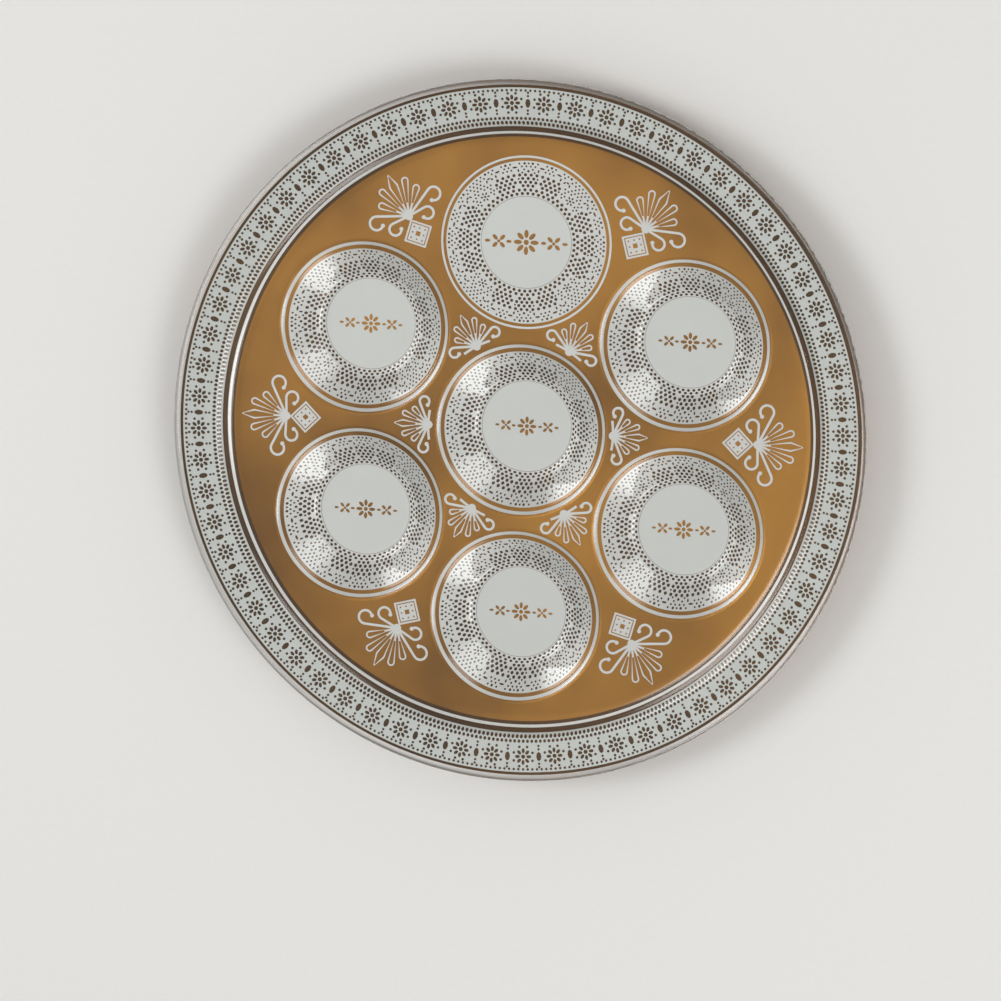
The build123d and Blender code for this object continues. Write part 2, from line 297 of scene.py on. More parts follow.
def gold_paint():
    """Satin gold paint with darker random clouds, a painted reflection of the surroundings, and painted
    shade behind the lace and round the border line.
    """
    made = new_finish("gold_paint")
    # Painted reflection: random darker clouds in place of reflections of the surroundings
    clouds = 2.6 * made.noise(9.0, detail=3.0) - 0.75
    flakes = made.noise(2600.0, detail=1.0)
    spot = made.place()
    # Painted shade: the upward side of the coat is darkened through the lace rings and from just inside the
    # border line outwards
    painted_shade_zone = made.reach(spot, Vector()) > half_width("border_line") - BORDER_SHADE
    for name in CIRCLES:
        away = made.reach(spot, PLACES[name])
        painted_shade_zone = painted_shade_zone + (away < LACE_RADIUS) * (away > LABEL_RADIUS)
    facing = made.node("ShaderNodeNewGeometry", output="True Normal")
    upward = made.node("ShaderNodeSeparateXYZ", None, {0: facing}, "Z") > 0.0
    coat = made.mix(clouds, finishes().gold_reflection_dark, finishes().gold)
    skin = {
        "Base Color": made.blend(0.85 * painted_shade_zone * upward, coat, finishes().gold_shade),
        "Metallic": 0.55,
        "Roughness": 0.36 + 0.16 * flakes,
        "Normal": made.bump(flakes, 0.12, 0.0001),
    }
    return made.close(made.node("ShaderNodeBsdfPrincipled", None, skin))


def print_ink(name, tint, metal, grain):
    """Metallic ink with a fine grain, made once for all prints that share it."""
    if name in bpy.data.materials:
        return bpy.data.materials[name]
    made = new_finish(name)
    tone = made.noise(120.0, detail=3.0)
    fine = made.noise(grain, detail=2.0)
    worn = tuple(0.9 * part for part in tint)
    skin = {
        "Base Color": made.mix(tone, worn, tint),
        "Metallic": metal,
        "Roughness": 0.34 + 0.2 * fine,
        "Normal": made.bump(fine, 0.15, 0.0001),
    }
    return made.close(made.node("ShaderNodeBsdfPrincipled", None, skin))


def bumper_rubber():
    """Soft clear rubber, faintly cloudy."""
    made = new_finish("clear_bumper")
    haze = made.noise(400.0)
    skin = {
        "Base Color": (*finishes().bumper, 1.0),
        "Roughness": 0.3 + 0.25 * haze,
        "Subsurface Weight": 0.25,
        "Subsurface Radius": (0.002, 0.002, 0.002),
        "Normal": made.bump(haze, 0.1, 0.0002),
    }
    return made.close(made.node("ShaderNodeBsdfPrincipled", None, skin))


def floor_paper():
    """Matt studio paper."""
    made = new_finish("floor_paper")
    fibre = made.noise(300.0, detail=4.0)
    tint = finishes().floor
    skin = {
        "Base Color": made.mix(fibre, tuple(0.97 * part for part in tint), tint),
        "Roughness": 0.9,
        "Specular IOR Level": 0.2,
    }
    return made.close(made.node("ShaderNodeBsdfPrincipled", None, skin))


# Modelling helpers, used in edit mode


def begin(name):
    """Open a new mesh at the origin in edit mode."""
    bpy.ops.object.select_all(action="DESELECT")
    piece = bpy.data.objects.new(name, bpy.data.meshes.new(name))
    bpy.context.collection.objects.link(piece)
    bpy.context.view_layer.objects.active = piece
    piece.select_set(True)
    bpy.ops.object.mode_set(mode="EDIT")
    return piece


def choose_edges(piece, test):
    """Select only the edges whose two ends pass a test."""
    bpy.ops.mesh.select_mode(type="EDGE")
    bpy.ops.mesh.select_all(action="DESELECT")
    bpy.ops.object.mode_set(mode="OBJECT")
    places = [vertex.co for vertex in piece.data.vertices]
    for edge in piece.data.edges:
        edge.select = test(*(places[end] for end in edge.vertices))
    bpy.ops.object.mode_set(mode="EDIT")


def choose_open_edges(piece, level):
    """Select only the open edges that lie at a level."""
    bpy.ops.mesh.select_mode(type="EDGE")
    bpy.ops.mesh.select_all(action="DESELECT")
    bpy.ops.mesh.select_non_manifold(
        use_wire=False, use_boundary=True, use_multi_face=False, use_non_contiguous=False, use_verts=False
    )
    bpy.ops.object.mode_set(mode="OBJECT")
    vertices = piece.data.vertices
    for edge in piece.data.edges:
        at_level = all(abs(vertices[end].co.z - level) < 0.01 * MM for end in edge.vertices)
        edge.select = edge.select and at_level
    bpy.ops.object.mode_set(mode="EDIT")


def finish_piece(piece, smooth=35):
    """Merge, turn all faces outwards, leave edit mode and shade."""
    bpy.ops.mesh.select_all(action="SELECT")
    bpy.ops.mesh.remove_doubles(threshold=0.0005 * MM)
    bpy.ops.mesh.normals_make_consistent(inside=False)
    bpy.ops.object.mode_set(mode="OBJECT")
    bpy.ops.object.shade_smooth_by_angle(angle=radians(smooth))
    return piece


def apply_modifier(piece, kind, **settings):
    """Add a modifier, set it up and apply it."""
    bpy.context.view_layer.objects.active = piece
    modifier = piece.modifiers.new(kind.lower(), kind)
    for key, value in settings.items():
        setattr(modifier, key, value)
    bpy.ops.object.modifier_apply(modifier=modifier.name)


def silver_ink():
    """Silver of the lace, the lines and the palmettes."""
    return print_ink("silver_print", finishes().silver, 0.3, 3200.0)


def shaded_rim_ink():
    """Silver of the lace round the rim, darker and slightly greener: painted shade."""
    return print_ink("shaded_rim_print", finishes().shaded_rim_silver, 0.3, 3200.0)


def label_ink():
    """Pale ground of the label discs."""
    return print_ink("label_print", finishes().label, 0.1, 2400.0)


def dress(piece, node, slot, material):
    """Give a finished piece its material, hang it under the root body and hide the node that it stands for.
    The slot is not used.
    """
    piece.data.materials.clear()
    piece.data.materials.append(material)
    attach(piece, "root")
    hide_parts(node)


def polar(radius, turn):
    """Point at a radius and an angle about the origin."""
    return Vector((radius * cos(turn), radius * sin(turn), 0.0))


# The slumped sheet


class Section:
    """Stations along the upper face of a round stretch of the sheet: radius, height and slope."""

    def __init__(self, radius, height):
        self.stations = [(radius, height, 0.0)]

    def straight(self, run, steps=1):
        """Go on in the same direction."""
        radius, height, slope = self.stations[-1]
        for step in range(1, steps + 1):
            share = run * step / steps
            self.stations.append((radius + share * cos(slope), height + share * sin(slope), slope))
        return self

    def bend(self, bend_radius, slope, steps):
        """Go on round an arc to a new slope; a negative radius bends down."""
        radius, height, before = self.stations[-1]
        for step in range(1, steps + 1):
            now = before + (slope - before) * step / steps
            self.stations.append((
                radius + bend_radius * (sin(now) - sin(before)),
                height + bend_radius * (cos(before) - cos(now)),
                now,
            ))
        return self

    def below(self, depth):
        """Points of the face at a depth below the upper face."""
        return [
            (radius + depth * sin(slope), height - depth * cos(slope))
            for radius, height, slope in self.stations
        ]


GUARD = 1 * MM
WELL_SIDES = 128
RIM_SIDES = 256
BEND_STEPS = 9


def field_level():
    """Height of the upper face of the flat field."""
    return FIELD_UNDERSIDE + bpy.context.scene.plate_sizes.glass_thickness


def well_section():
    """Floor, fillet, wall and lip of a well, with a flat guard ring at each end."""
    sizes = bpy.context.scene.plate_sizes
    floor = LABEL_RADIUS + sizes.floor_margin
    bend_drop = (sizes.floor_fillet + sizes.lip_radius) * (1 - cos(sizes.wall_angle))
    wall = (WELL_DEPTH - bend_drop) / sin(sizes.wall_angle)
    section = Section(floor - GUARD, field_level() - WELL_DEPTH)
    section.straight(GUARD)
    section.bend(sizes.floor_fillet, sizes.wall_angle, BEND_STEPS)
    section.straight(wall, 6)
    section.bend(-sizes.lip_radius, 0.0, BEND_STEPS)
    return section.straight(GUARD)


def well_radius():
    """Radius of a well where its lip meets the flat field."""
    return well_section().stations[-1][0] - GUARD


def field_radius():
    """Radius of the flat field inside the rim."""
    return PITCH_RADIUS + well_radius() + bpy.context.scene.plate_sizes.field_margin


def rim_section(flange):
    """Cove, shoulder and flange of the rim, from a flat guard ring outwards."""
    sizes = bpy.context.scene.plate_sizes
    section = Section(field_radius() - GUARD, field_level())
    section.straight(GUARD)
    section.bend(sizes.cove_radius, sizes.cove_angle, BEND_STEPS)
    section.bend(-sizes.shoulder_radius, sizes.rim_slope, BEND_STEPS)
    return section.straight(flange, 4)


def turn_skin(points, sides, fill):
    """Draw a round skin out of a circle, ring by ring."""
    radius, height = points[0]
    bpy.ops.mesh.primitive_circle_add(vertices=sides, radius=radius, fill_type=fill, location=(0, 0, height))
    for next_radius, next_height in points[1:]:
        scale = next_radius / radius
        bpy.ops.mesh.extrude_edges_move(TRANSFORM_OT_translate={"value": (0, 0, next_height - height)})
        bpy.ops.transform.resize(value=(scale, scale, 1), center_override=(0, 0, next_height))
        radius, height = next_radius, next_height


def edge_arc(outer_top, outer_bottom, slope, steps):
    """Points of a half round edge between the two faces of the sheet."""
    centre = (Vector(outer_top) + Vector(outer_bottom)) / 2
    reach = (Vector(outer_top) - Vector(outer_bottom)).length / 2
    turns = [slope + pi / 2 - pi * step / steps for step in range(1, steps)]
    return [(centre.x + reach * cos(turn), centre.y + reach * sin(turn)) for turn in turns]


def sheet(name, top, bottom, flange, round_edge):
    """One closed sheet between two depths: six wells, the flat field and the rim."""
    piece = begin(name)
    section = well_section()
    for depth in (top, bottom):
        turn_skin(section.below(depth), WELL_SIDES, "NGON")
    bpy.ops.mesh.select_all(action="SELECT")
    here = PLACES["centre"]
    for well in WELLS[1:]:
        step = PLACES[well] - here
        bpy.ops.mesh.duplicate_move(TRANSFORM_OT_translate={"value": (step.x, step.y, 0)})
        here = PLACES[well]
    rim = rim_section(flange)
    upper, lower = rim.below(top), rim.below(bottom)
    slope = rim.stations[-1][2]
    edge = edge_arc(upper[-1], lower[-1], slope, 10) if round_edge else []
    turn_skin(upper + edge + lower[::-1], RIM_SIDES, "NOTHING")
    for depth in (top, bottom):
        choose_open_edges(piece, field_level() - depth)
        bpy.ops.mesh.fill(use_beauty=True)
    return finish_piece(piece)


class PLATE_OT_glass(Operator):
    """Model the clear glass sheet"""

    bl_idname = "plate.glass"
    bl_label = "Glass sheet"

    def execute(self, context):
        sizes = context.scene.plate_sizes
        sunk = PRINT_ROOM + COAT_THICKNESS / 2
        piece = sheet("glass_sheet", 0.0, sizes.glass_thickness + sunk, sizes.rim_flange - sunk / 2, True)
        dress(piece, "glass_plate", "clear_glass", clear_glass())
        return {"FINISHED"}


class PLATE_OT_gold(Operator):
    """Model the gold coat on the back of the sheet"""

    bl_idname = "plate.gold"
    bl_label = "Gold coat"

    def execute(self, context):
        sizes = context.scene.plate_sizes
        top = sizes.glass_thickness + PRINT_ROOM
        flange = sizes.rim_flange - sizes.coat_margin
        piece = sheet("gold_coat", top, top + COAT_THICKNESS, flange, False)
        dress(piece, "gold_ground", "gold_paint", gold_paint())
        return {"FINISHED"}


# Prints between the glass and the gold coat, drawn flat about the origin and laid in place

LACE_SECTORS = 4
RIM_SECTORS = 64
LONGEST_EDGE = 1.8 * MM

# Step between drawn layers that overlap, so that no two of their faces share a plane
LIFT = Vector((0, 0, 0.01 * MM))

# Radii in a lace ring
INNER_ROWS = [LABEL_RADIUS + reach * MM for reach in (1.7, 3.75)]
LATTICE_ROWS = [LABEL_RADIUS + reach * MM for reach in (6.1, 8.15, 10.2, 12.25)]
FLORET_RADIUS = LABEL_RADIUS + 8.6 * MM
CRESCENT_RADIUS = 39.6 * MM
BRACKET_RADIUS = 41.9 * MM
OUTER_ROW = LACE_RADIUS - 1.5 * MM
FINE_ROWS = [OUTER_ROW - 1.72 * row * MM for row in range(8)]

# Zones of the dot lattice, as angles from the axis of a sector
OPEN_ZONES = ((0.0, radians(9)), (radians(12), radians(31)))


def across(x, y):
    """Point of a flat drawing, in millimetres."""
    return Vector((x * MM, y * MM, 0.0))


def loop(place, half_length, half_breadth=0.0, heading=0.0, sides=8, fill="NOTHING"):
    """Draw one closed oval line; a line inside another leaves an opening."""
    bpy.ops.mesh.primitive_circle_add(vertices=sides, radius=half_length, fill_type=fill, location=place)
    if half_breadth:
        bpy.ops.transform.resize(value=(1, half_breadth / half_length, 1), center_override=place)
        bpy.ops.transform.rotate(value=-heading, orient_axis="Z", center_override=place)


def flower(place, petals, reach, half_length, half_breadth, eye, turn=0.0):
    """Draw the openings of a flower: an eye with petals round it."""
    loop(place, eye)
    for step in range(petals):
        heading = turn + tau * step / petals
        loop(place + polar(reach, heading), half_length, half_breadth, heading)


def bead_row(radius, sectors, count, size, shift, sides=8):
    """Draw a row of small round openings across one sector."""
    for step in range(count):
        loop(polar(radius, tau / sectors * (step + shift) / count), size, sides=sides)


def repeat(sectors):
    """Repeat all lines drawn so far round the origin."""
    bpy.ops.mesh.select_all(action="SELECT")
    sweep = tau * (sectors - 1) / sectors
    bpy.ops.mesh.spin(steps=sectors - 1, angle=sweep, dupli=True, center=(0, 0, 0), axis=(0, 0, 1))


def fill_lines():
    """Fill a drawing between its lines."""
    bpy.ops.mesh.select_all(action="SELECT")
    bpy.ops.mesh.fill(use_beauty=True)


def split_long_edges(piece):
    """Split the long edges of a drawing, so that it can follow the bends of the coat."""
    for _ in range(4):
        choose_edges(piece, lambda first, second: (first - second).length > LONGEST_EDGE)
        bpy.ops.mesh.subdivide()


def close_drawing(piece):
    """Leave edit mode with a finished flat drawing."""
    bpy.ops.object.mode_set(mode="OBJECT")
    return piece


def copy_of(drawing, name, move):
    """Copy of a drawing with its own mesh, moved to a place."""
    piece = bpy.data.objects.new(name, drawing.data.copy())
    piece.data.name = name
    piece.data.transform(move)
    bpy.context.collection.objects.link(piece)
    return piece


def lay(piece, bent):
    """Give a drawing the thickness of a print, on the bent coat or on a flat part of it."""
    bpy.ops.object.select_all(action="DESELECT")
    bpy.context.view_layer.objects.active = piece
    piece.select_set(True)
    if bent:
        apply_modifier(
            piece,
            "SHRINKWRAP",
            target=bpy.data.objects["gold_coat"],
            wrap_method="PROJECT",
            use_project_z=True,
            use_positive_direction=False,
            use_negative_direction=True,
            offset=PRINT_ROOM / 2,
        )
    apply_modifier(piece, "SOLIDIFY", thickness=bpy.context.scene.plate_sizes.print_thickness, offset=0.0)
    bpy.ops.object.mode_set(mode="EDIT")
    return finish_piece(piece)


def over_coat(place=Vector()):
    """Move from the origin to a place above the highest part of the plate."""
    return Matrix.Translation((place.x, place.y, CAD_BOX[1].z))


def on_flat(place):
    """Move from the origin to the middle of a flat print's room."""
    return Matrix.Translation(place)


class LaceOpenings:
    """Openings of one lace sector, which remember the room that they take."""

    def __init__(self):
        self.taken = []

    def cut(self, place, half_length, half_breadth=0.0, heading=0.0):
        """Draw one opening."""
        loop(place, half_length, half_breadth, heading)
        self.taken.append((place, half_length))

    def is_free(self, place, size, gap):
        """Tell whether a dot fits between the openings drawn so far."""
        return all((place - other).length > size + room + gap for other, room in self.taken)

    def lattice(self, rows, open_zones, size):
        """Draw staggered rows of dots, beyond the first two only in some zones."""
        for number, (radius, count) in enumerate(rows):
            for turn, folded in staggered(number, count):
                if number < 2 or any(low <= folded <= high for low, high in open_zones):
                    self.cut(polar(radius, turn), size)

    def fine_dots(self, radii, count, size, gap):
        """Fill the ground that is left with small dots."""
        for number, radius in enumerate(radii):
            for turn, folded in staggered(number, count):
                if self.is_free(polar(radius, folded), size, gap):
                    loop(polar(radius, turn), size)

    def bracket(self, radius, turn, side):
        """Draw the two slits of an angular bracket that opens away from its axis."""
        for reach, shift, half_length, lean in ((0.8, 0.9, 1.5, tau / 4), (-1.1, -0.9, 0.95, 0.0)):
            spot = Matrix.Rotation(turn, 3, "Z") @ Vector((radius + reach * MM, side * shift * MM, 0))
            self.cut(spot, half_length * MM, 0.55 * MM, turn + lean)

    def crescent(self, place, heading):
        """Draw three short slits round the outer side of a place."""
        for lean in (-60, 0, 60):
            away = heading + radians(lean)
            self.cut(place + polar(1.9 * MM, away), 0.95 * MM, 0.5 * MM, away + tau / 4)

    def floret(self, place, turn):
        """Draw six petals round an eye."""
        self.cut(place, 0.7 * MM)
        for step in range(6):
            heading = turn + tau * step / 6
            self.cut(place + polar(1.95 * MM, heading), 0.85 * MM, 0.5 * MM, heading)


def staggered(number, count):
    """Angles of the dots in one row of a lace sector, each with its angle from the nearer axis."""
    sector = tau / LACE_SECTORS
    turns = [sector * (step + 0.5 * (number % 2)) / count for step in range(count)]
    return [(turn, min(turn, sector - turn)) for turn in turns]


def lace_drawing():
    """Draw a lace ring: rows and lattices of dots inside, brackets, crescents and florets outside."""
    sizes = bpy.context.scene.plate_sizes
    piece = begin("lace_drawing")
    half_sector = tau / LACE_SECTORS / 2
    lace = LaceOpenings()
    rows = [(radius, 14) for radius in INNER_ROWS] + [(radius, 18) for radius in LATTICE_ROWS]
    lace.lattice(rows, OPEN_ZONES, sizes.bead)
    lace.floret(polar(FLORET_RADIUS, half_sector), half_sector)
    for side in (-1, 1):
        for turn, lean in ((9.5, 1), (26, -1)):
            lace.bracket(BRACKET_RADIUS, side * radians(turn), lean * side)
        heading = half_sector + side * radians(11.5)
        lace.crescent(polar(CRESCENT_RADIUS, heading), heading)
        for turn in (3.0, 17.5, 34.0):
            lace.cut(polar(OUTER_ROW, side * radians(turn)), 0.8 * sizes.bead)
    lace.cut(polar(OUTER_ROW - 4.4 * MM, 0.0), 0.8 * sizes.bead)
    lace.fine_dots(FINE_ROWS, 26, 0.62 * sizes.bead, 0.28 * MM)
    repeat(LACE_SECTORS)
    loop(across(0, 0), LABEL_RADIUS + PRINT_ROOM, sides=WELL_SIDES)
    loop(across(0, 0), LACE_RADIUS, sides=WELL_SIDES)
    fill_lines()
    split_long_edges(piece)
    return close_drawing(piece)


def rim_lace_drawing():
    """Draw the lace round the rim: flowers and lozenges between bead rows."""
    sizes = bpy.context.scene.plate_sizes
    piece = begin("rim_lace_drawing")
    inner = RIM_LACE_RADIUS - sizes.rim_lace_width
    middle_radius = inner + 12.2 * MM
    half_sector = tau / RIM_SECTORS / 2
    bead_row(inner + 1.5 * MM, RIM_SECTORS, 7, 0.95 * MM, 0.0, sides=6)
    bead_row(inner + 3.6 * MM, RIM_SECTORS, 7, 0.95 * MM, 0.5, sides=6)
    bead_row(RIM_LACE_RADIUS - 1.6 * MM, RIM_SECTORS, 7, 0.8 * MM, 0.5, sides=6)
    heart = polar(middle_radius, half_sector)
    flower(heart, 8, 3.3 * MM, 1.5 * MM, 0.95 * MM, 1.25 * MM, half_sector)
    for step in range(8):
        loop(heart + polar(5.9 * MM, half_sector + tau * (step + 0.5) / 8), 0.85 * MM, sides=6)
    loop(polar(middle_radius, 0.0), 2.6 * MM, 1.5 * MM)
    for reach in (-6.0, -4.1, 4.1, 6.0):
        loop(polar(middle_radius + reach * MM, 0.0), 0.78 * MM, sides=6)
    repeat(RIM_SECTORS)
    for radius in (inner, RIM_LACE_RADIUS):
        loop(across(0, 0), radius, sides=RIM_SIDES)
    fill_lines()
    return close_drawing(piece)


def label_drawing(scale):
    """Draw a label disc with a small ornament: a rosette between two florets."""
    piece = begin("label_drawing")
    grain = scale * MM
    loop(across(0, 0), LABEL_RADIUS, sides=WELL_SIDES)
    flower(across(0, 0), 8, 3.7 * grain, 1.9 * grain, 1.0 * grain, 1.2 * grain)
    for side in (-1, 1):
        floret = across(12.2 * scale * side, 0)
        flower(floret, 4, 2.3 * grain, 1.5 * grain, 0.85 * grain, 0.75 * grain, tau / 8)
        loop(across(17.2 * scale * side, 0), 1.3 * grain, 0.7 * grain)
        loop(across(7.7 * scale * side, 0), 1.2 * grain, 0.7 * grain)
    fill_lines()
    return close_drawing(piece)


def ring_drawing(outer, width, sides):
    """Draw a plain thin ring."""
    piece = begin("ring_drawing")
    for radius in (outer - width, outer - width / 2, outer):
        loop(across(0, 0), radius, sides=sides)
    bpy.ops.mesh.select_all(action="SELECT")
    bpy.ops.mesh.bridge_edge_loops()
    return close_drawing(piece)


PETAL_ROOT = 0.6 * MM
PETAL_POINT = 0.4 * MM
PETAL_BELLY = 0.62
PETAL_CORE = 8 * MM
OUTER_SPREAD = radians(21.5)
INNER_SPREAD = radians(23)
HUB_DISC = 2.4 * MM
STEM_HALF_BREADTH = 0.65 * MM
ARC_STEPS = 8


def belt(circles):
    """Points of a closed line drawn tightly round circles that follow each other along X."""
    turns = [pi]
    for (place, radius), (next_place, next_radius) in zip(circles, circles[1:]):
        turns.append(acos((radius - next_radius) / (next_place - place)))
    turns.append(0.0)
    upper = []
    for number, (place, radius) in enumerate(circles):
        start, end = turns[number], turns[number + 1]
        for step in range(ARC_STEPS + 1):
            turn = start + (end - start) * step / ARC_STEPS
            upper.append((place + radius * cos(turn), radius * sin(turn)))
    lower = [(x, -y) for x, y in reversed(upper[1:-1])]
    return [Vector((x, y, 0.0)) for x, y in upper + lower]


def belt_loop(piece, circles, heading):
    """Draw a closed line round circles along a heading."""
    points = belt(circles)
    bpy.ops.mesh.select_all(action="DESELECT")
    bpy.ops.mesh.primitive_circle_add(vertices=len(points), radius=1 * MM)
    bpy.ops.object.mode_set(mode="OBJECT")
    drawn = [vertex for vertex in piece.data.vertices if vertex.select]
    for vertex, point in zip(drawn, points):
        vertex.co = Matrix.Rotation(heading, 3, "Z") @ point
    bpy.ops.object.mode_set(mode="EDIT")


def leaf(root, tip, half_breadth, pointed):
    """Circles that a leaf is drawn round: its root and a round end, or a belly and a point."""
    if not pointed:
        return [(root, PETAL_ROOT), (tip - half_breadth, half_breadth)]
    belly = root + PETAL_BELLY * (tip - root)
    return [(root, PETAL_ROOT), (belly, half_breadth), (tip - PETAL_POINT, PETAL_POINT)]


def petal_fan(piece, root, tip, step, spread, half_breadth):
    """Draw five open petals that shorten to both sides."""
    line = bpy.context.scene.plate_sizes.petal_line
    for number in range(-2, 3):
        pointed = number == 0
        breadth = half_breadth * (1.25 if pointed else 1.0)
        end = tip - step * abs(number)
        belt_loop(piece, leaf(root, end, breadth, pointed), number * spread)
        belt_loop(piece, leaf(PETAL_CORE, end - line, breadth - line, pointed), number * spread)


def stroke_line(piece, start, heading, stem, radius, side, sweep):
    """Draw a stroke along a heading that goes on in an arc, and return the arc's end."""
    width = bpy.context.scene.plate_sizes.stroke
    end = start + polar(stem, heading)
    centre = end + side * polar(radius, heading + tau / 4)
    halfway = (start + end) / 2
    bpy.ops.mesh.primitive_plane_add(size=1, location=halfway)
    bpy.ops.transform.resize(value=(stem, width, 1), center_override=halfway)
    bpy.ops.transform.rotate(value=-heading, orient_axis="Z", center_override=halfway)
    near = 0.6 * width
    choose_edges(piece, lambda first, second: max((first - end).length, (second - end).length) < near)
    steps = max(6, round(sweep / radians(15)))
    bpy.ops.mesh.spin(steps=steps, angle=-side * sweep, center=centre, axis=(0, 0, 1))
    return centre + Matrix.Rotation(side * sweep, 3, "Z") @ (end - centre)


def curl(piece, level, angle_out, stem, radius):
    """Draw a mirrored pair of strokes at a level; each ends in a hook with a bead on it."""
    sizes = bpy.context.scene.plate_sizes
    for side in (-1, 1):
        heading = side * radians(angle_out)
        end = stroke_line(piece, level * LIFT, heading, stem * MM, radius * MM, side, sizes.curl_sweep)
        loop(end + LIFT, 0.85 * sizes.stroke, sides=12, fill="NGON")


def hub_and_stems(spread, reach, half_length):
    """Draw a disc at the origin, over everything else, and the stems of five petals."""
    loop(4 * LIFT, HUB_DISC, sides=32, fill="NGON")
    for number in range(-2, 3):
        level = (2.5 if number % 2 else 3.2) * LIFT
        heading = number * spread
        place = level + polar(reach, heading)
        loop(place, half_length, STEM_HALF_BREADTH, heading, sides=16, fill="NGON")


def outer_palmette_drawing():
    """Draw a large palmette on a pierced diamond, with its hub at the origin."""
    piece = begin("outer_palmette_drawing")
    diamond = across(-11.2, 0.0)
    for reach in (9.19, 7.7, 6.9, 1.84):
        loop(diamond, reach * MM, sides=4)
    for step in range(8):
        loop(diamond + polar((4.6 if step % 2 == 0 else 3.3) * MM, tau * step / 8), 0.55 * MM)
    petal_fan(piece, 6.9 * MM, OUTER_PETAL, 3.6 * MM, OUTER_SPREAD, 2.2 * MM)
    fill_lines()
    hub_and_stems(OUTER_SPREAD, 4.6 * MM, 3.2 * MM)
    curl(piece, 0.8, 64, 19, 3.9)
    curl(piece, 1.4, 88, 10.5, 3.5)
    return close_drawing(piece)


def inner_palmette_drawing(hub_radius):
    """Draw a small palmette on a collar that follows the centre ring, with its hub at the origin."""
    piece = begin("inner_palmette_drawing")
    petal_fan(piece, 6.2 * MM, INNER_PETAL, 3.2 * MM, INNER_SPREAD, 1.8 * MM)
    fill_lines()
    hub_and_stems(INNER_SPREAD, 4.2 * MM, 3.0 * MM)
    curl(piece, 0.8, 67, 13.2, 2.8)
    half_collar = radians(9)
    start = polar(hub_radius, -half_collar) - polar(hub_radius, 0) + 3.6 * LIFT
    stroke_line(piece, start, tau / 4 - half_collar, 0.2 * MM, hub_radius, 1, 2 * half_collar)
    return close_drawing(piece)


def print_copies(drawing, stem, moves, bent, material):
    """Print copies of a drawing at their places, then put the drawing away."""
    for name, move in moves.items():
        piece = lay(copy_of(drawing, f"printed_{stem}_{name}", move), bent)
        dress(piece, f"{stem}_{name}", material.name, material)
    bpy.data.objects.remove(drawing)


def print_alone(drawing, node, material):
    """Print one drawing round the rim."""
    piece = lay(copy_of(drawing, "printed_" + node, over_coat()), True)
    dress(piece, node, silver_ink().name, material)
    bpy.data.objects.remove(drawing)


class PLATE_OT_lace(Operator):
    """Print the lace rings"""

    bl_idname = "plate.lace"
    bl_label = "Lace rings"

    def execute(self, context):
        drawing = lace_drawing()
        rings = {name: over_coat(PLACES[name]) for name in CIRCLES}
        print_copies(drawing, "lace_ring", rings, True, silver_ink())
        return {"FINISHED"}


class PLATE_OT_lines(Operator):
    """Print the lines round the lace rings and inside the rim"""

    bl_idname = "plate.lines"
    bl_label = "Lines"

    def execute(self, context):
        sizes = context.scene.plate_sizes
        outline = ring_drawing(half_width("outline_ring_top"), sizes.outline_width, WELL_SIDES)
        rings = {name: over_coat(PLACES[name]) for name in CIRCLES}
        print_copies(outline, "outline_ring", rings, True, silver_ink())
        border = ring_drawing(half_width("border_line"), sizes.border_width, RIM_SIDES)
        print_alone(border, "border_line", silver_ink())
        return {"FINISHED"}


class PLATE_OT_rim_lace(Operator):
    """Print the lace round the rim"""

    bl_idname = "plate.rim_lace"
    bl_label = "Rim lace"

    def execute(self, context):
        print_alone(rim_lace_drawing(), "rim_lace_band", shaded_rim_ink())
        return {"FINISHED"}


class PLATE_OT_labels(Operator):
    """Print the label discs"""

    bl_idname = "plate.labels"
    bl_label = "Label discs"

    def execute(self, context):
        wells = {name: on_flat(PLACES[name]) for name in WELLS}
        medallion = {"top": on_flat(PLACES["top"])}
        print_copies(label_drawing(1.0), "label_disc", wells, False, label_ink())
        print_copies(label_drawing(1.3), "label_disc", medallion, False, label_ink())
        return {"FINISHED"}


class PLATE_OT_palmettes(Operator):
    """Print the palmettes between the circles"""

    bl_idname = "plate.palmettes"
    bl_label = "Palmettes"

    def execute(self, context):
        level = FIELD_UNDERSIDE - PRINT_ROOM / 2
        for stem, hub, drawing in (
            ("outer_palmette", OUTER_HUB, outer_palmette_drawing()),
            ("inner_palmette", INNER_HUB, inner_palmette_drawing(INNER_HUB)),
        ):
            moves = {
                name: Matrix.Rotation(turn, 4, "Z") @ Matrix.Translation((hub, 0, level))
                for name, turn in PALMETTE_ANGLES.items()
            }
            print_copies(drawing, stem, moves, False, silver_ink())
        return {"FINISHED"}


class PLATE_OT_feet(Operator):
    """Finish the bumpers under the wells"""

    bl_idname = "plate.feet"
    bl_label = "Bumpers"

    def execute(self, context):
        material = bumper_rubber()
        for well in WELLS:
            foot = bpy.data.objects["foot_" + well]
            foot.data.materials.clear()
            foot.data.materials.append(material)
        return {"FINISHED"}


# Studio

CAMERA_TILT = 15.0
CAMERA_AZIMUTH = 36.0
CAMERA_ROLL = 1.8
CAMERA_DISTANCE = 4.0
FRAME_WIDTH = 566 * MM
PLATE_SHIFT = (10.5 * MM, 39.3 * MM)
SOFTBOXES = (
    ("softbox_front", -62.0, 12.0, 1.3, (1.3, 0.6), 5.6, False),
    ("softbox_right", 48.0, 24.0, 1.3, (1.2, 0.7), 3.8, False),
    ("softbox_left", 152.0, 10.0, 1.3, (1.3, 0.6), 5.6, False),
    ("key_left", 165.0, 52.0, 2.4, (1.5, 1.5), 6.0, True),
    ("key_right", -20.0, 52.0, 2.4, (1.5, 1.5), 6.0, True),
)


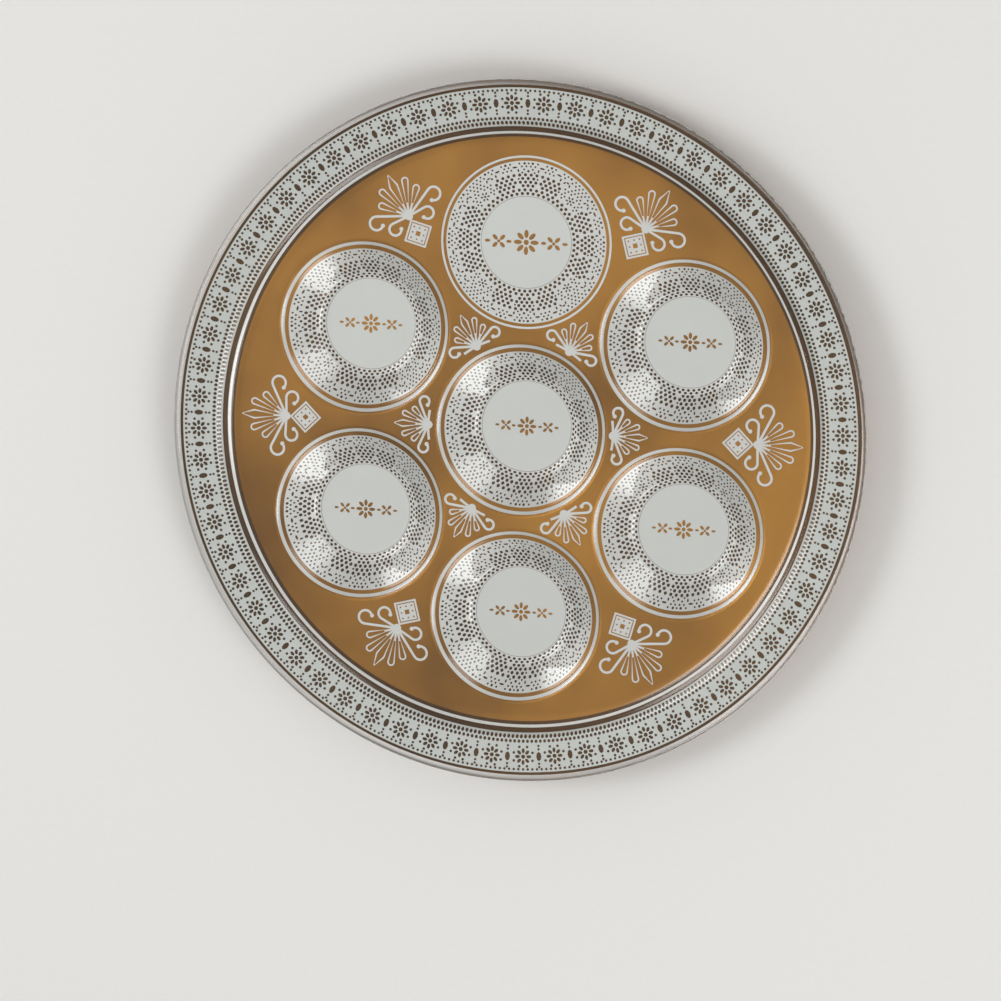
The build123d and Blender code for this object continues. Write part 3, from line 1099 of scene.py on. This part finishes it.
def softbox(name, azimuth, elevation, distance, size, radiance, lights_matt):
    """One large soft lamp aimed at the plate; the low ones show only as reflections in glass and ink."""
    lamp = bpy.data.lights.new(name, "AREA")
    lamp.shape = "RECTANGLE"
    lamp.size, lamp.size_y = size
    lamp.energy = radiance * pi * size[0] * size[1]
    made = Finish(lamp)
    spot = made.node("ShaderNodeNewGeometry", output="Parametric")
    middle_of_lamp = {0: spot, 1: (0.5, 0.5, 0.0)}
    reach = made.node("ShaderNodeVectorMath", {"operation": "DISTANCE"}, middle_of_lamp, "Value")
    fade = {"Value": reach, "From Min": 0.15, "From Max": 0.5, "To Min": 1.0, "To Max": 0.0}
    strength = made.node("ShaderNodeMapRange", {"interpolation_type": "SMOOTHSTEP"}, fade)
    made.close(made.node("ShaderNodeEmission", None, {"Strength": strength}), "Light")
    holder = bpy.data.objects.new(name, lamp)
    flat = polar(distance * cos(radians(elevation)), radians(azimuth))
    holder.location = flat + Vector((0, 0, distance * sin(radians(elevation))))
    holder.rotation_euler = holder.location.to_track_quat("Z", "Y").to_euler()
    holder.visible_camera = False
    holder.visible_diffuse = lights_matt
    bpy.context.collection.objects.link(holder)


def studio_camera():
    """Camera high over the plate, leaning to the upper right."""
    data = bpy.data.cameras.new("camera")
    holder = bpy.data.objects.new("camera", data)
    tilt, azimuth = radians(CAMERA_TILT), radians(CAMERA_AZIMUTH)
    back = polar(sin(tilt), azimuth) + Vector((0, 0, cos(tilt)))
    up_hint = Matrix.Rotation(radians(CAMERA_ROLL), 3, "Z") @ Vector((0, 1, 0))
    right = up_hint.cross(back).normalized()
    up = back.cross(right)
    aim = Vector((0, 0, field_level())) - right * PLATE_SHIFT[0] - up * PLATE_SHIFT[1]
    turn = Matrix((right, up, back)).transposed()
    holder.matrix_world = Matrix.Translation(aim + back * CAMERA_DISTANCE) @ turn.to_4x4()
    data.lens = data.sensor_width * CAMERA_DISTANCE / FRAME_WIDTH
    bpy.context.collection.objects.link(holder)
    bpy.context.scene.camera = holder


def studio_world():
    """Even pale surroundings."""
    world = bpy.data.worlds.new("studio")
    world.use_nodes = True
    background = world.node_tree.nodes["Background"]
    background.inputs["Color"].default_value = (1.0, 0.99, 0.97, 1.0)
    background.inputs["Strength"].default_value = 0.45
    bpy.context.scene.world = world


class PLATE_OT_stage(Operator):
    """Set up the floor, the lamps and the camera"""

    bl_idname = "plate.stage"
    bl_label = "Stage"

    def execute(self, context):
        context.scene.view_settings.view_transform = "Standard"
        floor = begin("floor")
        bpy.ops.mesh.primitive_plane_add(size=12, location=(0, 0, CAD_BOX[0].z))
        bpy.ops.object.mode_set(mode="OBJECT")
        floor.data.materials.append(floor_paper())
        for lamp in SOFTBOXES:
            softbox(*lamp)
        studio_world()
        studio_camera()
        return {"FINISHED"}


class PLATE_PT_sidebar(Panel):
    """Lists the pieces of the plate"""

    bl_idname = "PLATE_PT_sidebar"
    bl_label = "Seder plate"
    bl_space_type = "VIEW_3D"
    bl_region_type = "UI"
    bl_category = "Plate"

    def draw(self, context):
        for operator in OPERATORS:
            self.layout.operator(operator.bl_idname)


OPERATORS = (
    PLATE_OT_stage,
    PLATE_OT_glass,
    PLATE_OT_gold,
    PLATE_OT_lace,
    PLATE_OT_lines,
    PLATE_OT_rim_lace,
    PLATE_OT_labels,
    PLATE_OT_palmettes,
    PLATE_OT_feet,
)
CLASSES = (PlateSizes, PlateFinish, *OPERATORS, PLATE_PT_sidebar)


def register():
    for made in CLASSES:
        bpy.utils.register_class(made)
    bpy.types.Scene.plate_sizes = PointerProperty(type=PlateSizes)
    bpy.types.Scene.plate_finish = PointerProperty(type=PlateFinish)


def unregister():
    del bpy.types.Scene.plate_finish
    del bpy.types.Scene.plate_sizes
    for made in reversed(CLASSES):
        bpy.utils.unregister_class(made)


def main():
    register()
    for operator in OPERATORS:
        group, name = operator.bl_idname.split(".")
        getattr(getattr(bpy.ops, group), name)()


if __name__ == "__main__":
    main()
